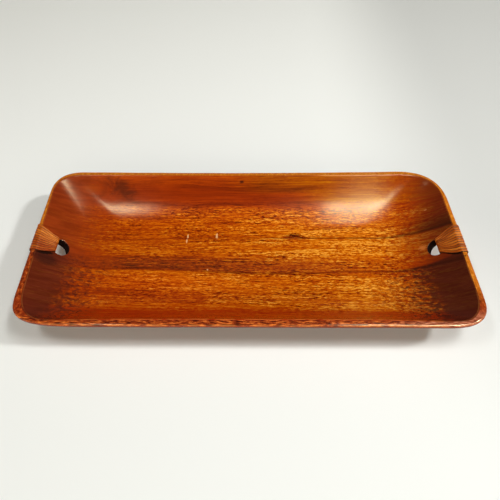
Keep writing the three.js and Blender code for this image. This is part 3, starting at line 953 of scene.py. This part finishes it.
def streaks(f, x, w):
    """The long streaks and the thin dark lines that run with the grain, about nought."""
    wide = f.cells(x, w, (130, 4.2), 9, 3, 0.65)
    fine = f.cells(x, w, (42, 1.3), 12, 3, 0.65)
    thin = f.cells(x, w, (24, 1.1), 51, 1)
    tone = f.add(f.about_nought(wide, 0.85), f.about_nought(fine, 0.95))
    return f.less(tone, f.rise(thin, 0.6, 0.74, 0, 0.26))


def ripple(f, x, w):
    """The short dashes and ripples that lie close together along the grain, about nought."""
    dashes = f.cells(x, w, (4.6, 1.2), 15, 3, 0.65, 0.7)
    flecks = f.cells(x, w, (9, 1.9), 21, 2, 0.55, 0.8)
    bright = f.cells(x, w, (15, 1.5), 61, 2, 0.6, 0.4)
    patchy = f.cells(x, w, (45, 12), 27, 1)
    tone = f.add(
        f.rise(dashes, 0.36, 0.58, -0.3, 0.13), f.rise(flecks, 0.32, 0.62, -0.17, 0.12),
        f.rise(bright, 0.54, 0.72, 0, 0.2),
    )
    return f.times(tone, f.rise(patchy, 0.36, 0.6, 0.6, 1.2))


def long_bands(f, board, colour):
    """The red and the golden bands that run the length of the board."""
    x, w = board.x, board.w
    back_red = f.times(f.rise(w, 72, 80), f.rise(w, 102, 92), f.rise(x, 90, 0, 0, 0.45))
    colour = f.blend(back_red, colour, tint(140, 38, 0))
    gold_right = f.times(f.rise(w, 74, 82), f.rise(x, 40, 105))
    gold_strip = f.times(f.rise(w, 88, 94), f.rise(x, -40, 30))
    back_gold = f.times(f.math("MINIMUM", f.add(gold_right, gold_strip), 1), 0.85)
    colour = f.blend(back_gold, colour, (0.82, 1.34, 0.5, 1), "MULTIPLY")
    dark_band = f.times(board.band, f.rise(x, 170, 60, 0, 0.22))
    colour = f.blend(dark_band, colour, tint(128, 62, 30))
    front_red = f.rise(w, -60, -74, 0, 0.65)
    colour = f.blend(front_red, colour, tint(158, 24, 0))
    redder = f.times(f.rise(w, -16, -28), f.rise(x, 60, -100))
    return f.blend(redder, colour, (1, 0.8, 0.8, 1), "MULTIPLY")


def darker_ends(f, board, colour):
    """Both ends climb into dark maroon wood, darkest on the near half."""
    x, w = board.x, board.w
    side = f.rise(x, -150, 150)
    edge = f.rise(x, -150, 150, 6, -13)
    near = f.rise(f.less(board.y, edge), 0, f.rise(x, -150, 150, -18, -3.5))
    curled = f.times(f.rise(near, 0, 1, 80, 170), f.rise(board.along, 200, 176, 0.25, 1))
    curl = f.about_nought(f.cells(x, w, (5, 3.2), 71, 3, 0.65, 0.6), curled)
    further = f.times(near, f.add(4, f.times(side, 13)))
    reach = f.add(board.along, curl, further, f.times(side, -7))

    turning = f.blend(side, tint(150, 50, 4), tint(146, 42, 2))
    colour = f.blend(f.times(f.rise(reach, 138, 176, 0, 0.65), board.inside), colour, turning)
    far_shade = f.blend(side, tint(134, 50, 16), tint(97, 31, 14))
    near_shade = f.blend(side, tint(80, 30, 18), tint(58, 24, 17))
    drift = f.rise(f.cells(x, w, (26, 5.5), 75, 3, 0.6), 0.38, 0.62)
    shade = f.blend(drift, f.blend(near, far_shade, near_shade), (0.62, 0.55, 0.6, 1), "MULTIPLY")
    dark = f.times(f.rise(reach, 162, 206), f.rise(near, 0, 1, 0.74, 0.84), board.inside)
    colour = f.blend(dark, colour, shade)
    above_line = f.times(f.rise(w, 33, 35), f.rise(w, 60, 36))
    above_line = f.times(above_line, f.rise(x, 160, 205, 0, 0.6), board.inside)
    return f.blend(above_line, colour, tint(46, 18, 8))


def growth_lines(f, board, colour):
    """The two dark growth lines that run the length of the floor and up both ends."""
    x, w = board.x, board.w
    far_right = f.rise(x, 140, 190)
    first = f.rise(x, 145, 180, 31.5, 34.5)
    line_one = f.hump(f.less(w, first), 0, f.add(1.9, f.times(far_right, 2.1)))
    line_one = f.times(line_one, f.rise(x, 20, 60, 0.35, 1))
    second = f.add(f.rise(x, 70, 105, -16, -12.4), f.rise(x, 150, 205, 0, 6))
    breadth = f.add(f.rise(x, 60, 90, 2.4, 1.9), f.times(far_right, 2.4))
    clear = f.add(f.rise(x, -60, -10, 0.45, 1), f.rise(x, 60, 90, 0, -0.35))
    line_two = f.times(f.hump(f.less(w, second), 0, breadth), clear, f.rise(x, 110, 160, 1, 1.4))
    broken = f.rise(f.cells(x, w, (18, 6), 33), 0.3, 0.55, 0.4, 1)
    broken = f.greater(broken, f.rise(x, 40, 70))
    strength = f.add(f.rise(x, -190, -150, 0.3, 0.88), f.times(far_right, -0.3))
    lines = f.times(f.greater(line_one, line_two), broken, strength)
    return f.blend(lines, colour, f.blend(f.rise(x, 130, 185), tint(98, 22, 2), tint(38, 13, 7)))


def swirl(f, board, colour):
    """The grain's oval swirl round a knot in the back left corner, and its smoky dark flame."""
    ragged = f.less(f.cells(board.x, board.y, (11, 6), 81, 2, 0.6, 0.8), 0.5)
    off = off_centre(f, board, (-184, 88), (19, 7), 0)
    ring = f.hump(f.add(off, f.times(ragged, 1.1)), 1, 0.35)
    colour = f.blend(f.times(ring, 0.5), colour, tint(112, 36, 4))
    colour = f.blend(f.rise(off, 0.8, 0.2, 0, 0.2), colour, tint(178, 84, 14))
    flame = f.add(off_centre(f, board, (-148, 87), (23, 9), -24), f.times(ragged, 1.8))
    return f.blend(f.rise(flame, 1.2, 0.2, 0, 0.75), colour, tint(74, 24, 6))


def rim_tones(f, board, colour):
    """The rim: golden at the back and ends, dull and blotched in front with a painted sheen at its right,
    pale edges of wear and painted highlight, and painted shade below its outer edge.
    """
    x, y, z, inner = board.x, board.y, board.z, board.inner
    ahead = f.rise(y, -86, -98)
    long_blotches = f.cells(x, y, (7.5, 1.6), 91, 3, 0.7)
    short_blotches = f.cells(x, y, (2.6, 4.5), 93, 3, 0.65)
    short_blotches = f.add(0.28, f.times(short_blotches, 0.44))
    blotches = f.add(f.times(long_blotches, ahead), f.times(short_blotches, f.less(1, ahead)))
    golden, dull, painted_sheen = (f.ramp(blotches, tones) for tones in (GOLDEN_RIM, DULL_RIM, PAINTED_SHEEN_RIM))
    # Painted sheen: the front right part of the rim top is made paler, as where it reflects a light
    dull = f.blend(f.times(f.rise(x, 120, 175), f.rise(y, -84, -96)), dull, painted_sheen)
    front = f.rise(f.less(y, f.rise(x, -200, 200, -2, -66)), 16, -18)
    top = f.times(f.rise(inner, 1, 0.9), f.rise(z, HEIGHT - 1.6, HEIGHT - 0.7, 0, 0.9))
    colour = f.blend(top, colour, f.blend(front, golden, dull))
    # The rim's edges are painted pale in patches: partly wear, partly painted highlight, strongest along the
    # front edge
    patches = f.rise(f.cells(x, y, (14, 14), 95, 2, 0.6), 0.38, 0.56, 0.1, 0.9)
    front_wear_and_glint = f.times(f.rise(y, -88, -97), f.rise(board.along, 205, 165))
    worn_and_glinting = f.times(board.wear, patches, f.add(0.2, f.times(front_wear_and_glint, 0.8)))
    colour = f.blend(worn_and_glinting, colour, tint(228, 138, 62))
    # Painted shade: the outer face below the rim's edge is darkened, standing in for the shade on that face
    below = f.times(f.rise(inner, 0.1, 0), f.rise(z, HEIGHT - 0.9, HEIGHT - 2, 0, 0.72))
    return f.blend(below, colour, tint(74, 26, 10))


def off_centre(f, board, place, reach, turn):
    """How far off the middle of a turned oval a point lies: nought at its middle and 1 on its edge."""
    cosine, sine = cos(radians(turn)), sin(radians(turn))
    from_x, from_y = f.less(board.x, place[0]), f.less(board.y, place[1])
    off_x = f.times(f.add(f.times(from_x, cosine), f.times(from_y, sine)), 1 / reach[0])
    off_y = f.times(f.add(f.times(from_x, -sine), f.times(from_y, cosine)), 1 / reach[1])
    return f.math("SQRT", f.add(f.times(off_x, off_x), f.times(off_y, off_y)))


def marks(f, board, colour):
    """The knots, scratches and stray spots on the rim and inside, and the painted shadows below the cane
    windings, each where it lies in plan.
    """
    within = f.rise(board.inner, 0.1, 0.3)
    for place, reach, turn, ragged, share, shade in MARKS_AND_PAINTED_SHADOWS:
        rough = f.cells(board.x, board.y, (2.5, 0.9), place[0] / 7, 2, 0.6)
        off = f.add(off_centre(f, board, place, reach, turn), f.about_nought(rough, ragged))
        colour = f.blend(f.times(f.rise(off, 1, 0.45, 0, share), within), colour, tint(*shade))
    return colour


def split_cane():
    """Brown orange split cane, finely fibrous along each strip, with painted shade darkening each strip's
    edges into the seams.
    """
    f = Finish(bpy.data.materials.new("split_cane"))
    along, across = f.mark("along_strip"), f.mark("across_strip")
    off_middle = f.math("ABSOLUTE", across)
    fibre = f.cells(along, across, (12, 1 / 3), 0, 3, 0.65)
    strip_tone = f.cells(along, 0.3, (24, 1), 5, 1)
    tone = f.add(fibre, f.add(-0.47, f.times(strip_tone, 1.1)))
    # Painted shade: each strip is darkened towards its edges
    tone = f.math("SUBTRACT", tone, f.rise(off_middle, 0.4, 0.9, 0, 0.28), clamp=True)
    colour = f.ramp(tone, CANE_TONES)
    crack = f.cells(along, across, (18, 1 / 5), 9)
    colour = f.blend(f.rise(crack, 0.6, 0.7, 0, 0.7), colour, tint(84, 30, 6))
    stain = f.rise(f.cells(along, across, (14, 1), 13), 0.3, 0.6, 0.1, 0.75)
    on_left = f.rise(f.coordinates()["X"], 0, -0.2)
    colour = f.blend(f.times(stain, on_left, f.rise(along, 560, 180)), colour, tint(138, 36, 0))
    # Painted shade: the strip's edges go near black in the seams between strips
    colour = f.blend(f.rise(off_middle, 0.64, 0.93, 0, 0.95), colour, tint(32, 10, 3))
    return f.close(f.surface(colour, 0.46, 0.3, CANE_SHINE, (fibre, 0.9, 0.00015)))


def pale_floor():
    """A pale floor with painted shade ahead and far to the right, that fades into the room far off."""
    f = Finish(bpy.data.materials.new("pale_floor"))
    place = f.coordinates()
    # Painted shade: the floor's colour is darkened far to the right, and ahead, to shape how bright the lit
    # floor looks
    far_right = f.times(f.rise(place["X"], 0.1, 0.32), f.rise(place["Y"], -0.25, 0.08), FLOOR_PAINTED_SHADE)
    ahead = f.rise(place["Y"], 0.05, -0.2)
    colour = f.blend(ahead, (0.91, 0.93, 0.9, 1), (0.84, 0.86, 0.83, 1))
    plain = f.surface(f.blend(far_right, colour, (0, 0, 0, 1)), 0.9, 0.1)
    distance = f.node("ShaderNodeVectorMath", {0: f.coordinate()}, operation="LENGTH")
    far_off = f.rise(distance.outputs["Value"], *FLOOR_FADES)
    haze = f.node("ShaderNodeEmission", {"Color": SEEN_ROOM, "Strength": ROOM_TONE})
    share = f.times(far_off, f.seen())
    return f.close(f.node("ShaderNodeMixShader", {0: share, 1: plain.outputs[0], 2: haze.outputs[0]}))


def studio_floor():
    bm = bmesh.new()
    bmesh.ops.create_grid(bm, x_segments=8, y_segments=8, size=FLOOR_REACH)
    put_in_scene(bm, "studio_floor", pale_floor())


def lamps():
    for name, place, size, power, aimed in LAMPS:
        data = bpy.data.lights.new(name, "AREA")
        data.shape = "RECTANGLE"
        data.size, data.size_y = size
        data.energy = power
        lamp = bpy.data.objects.new(name, data)
        lamp.location = place
        if aimed:
            lamp.rotation_euler = (-lamp.location).to_track_quat("-Z", "Y").to_euler()
        lamp.visible_diffuse = not name.startswith("sheen")
        SCENE.collection.objects.link(lamp)


def room():
    """The dim room round the floor, with low windows on the near side. Seen straight it is plain."""
    world = bpy.data.worlds.new("room")
    SCENE.world = world
    f = Finish(world)
    way, seen = f.coordinates("Generated"), f.seen()
    low = f.times(f.rise(way["Z"], 0.02, 0.12), f.rise(way["Z"], 0.62, 0.45))
    windows = f.times(low, f.rise(way["Y"], 0.3, -0.3), WINDOW_GLOW)
    glow = f.add(ROOM_GLOW, windows, f.rise(way["Z"], -0.05, -0.2, 0, BELOW_GLOW))
    glow = f.add(f.times(glow, f.less(1, seen)), f.times(seen, ROOM_TONE))
    colour = f.blend(seen, ROOM_COLOUR, SEEN_ROOM)
    background = f.node("ShaderNodeBackground", {"Color": colour, "Strength": glow})
    f.close(background, "ShaderNodeOutputWorld")


def photograph_view():
    data = bpy.data.cameras.new("photograph_view")
    data.sensor_width = data.lens = LENS
    camera = bpy.data.objects.new("photograph_view", data)
    turn = Matrix.Rotation(-radians(CAMERA_YAW), 4, "Z")
    turn @= Matrix.Rotation(pi / 2 - radians(CAMERA_PITCH), 4, "X")
    turn @= Matrix.Rotation(radians(CAMERA_ROLL), 4, "Z")
    place = (CAMERA_FROM_RIM + Vector((0, 0, HEIGHT))) * MM
    camera.matrix_world = Matrix.Translation(place) @ turn
    SCENE.collection.objects.link(camera)
    SCENE.camera = camera


photograph_view()
SCENE.view_settings.view_transform = "Standard"
studio_floor()
lamps()
room()
bowl(hardwood(), drilled_wood())
cane = split_cane()
for winding_side in ("left", "right"):
    cane_winding(winding_side, cane)
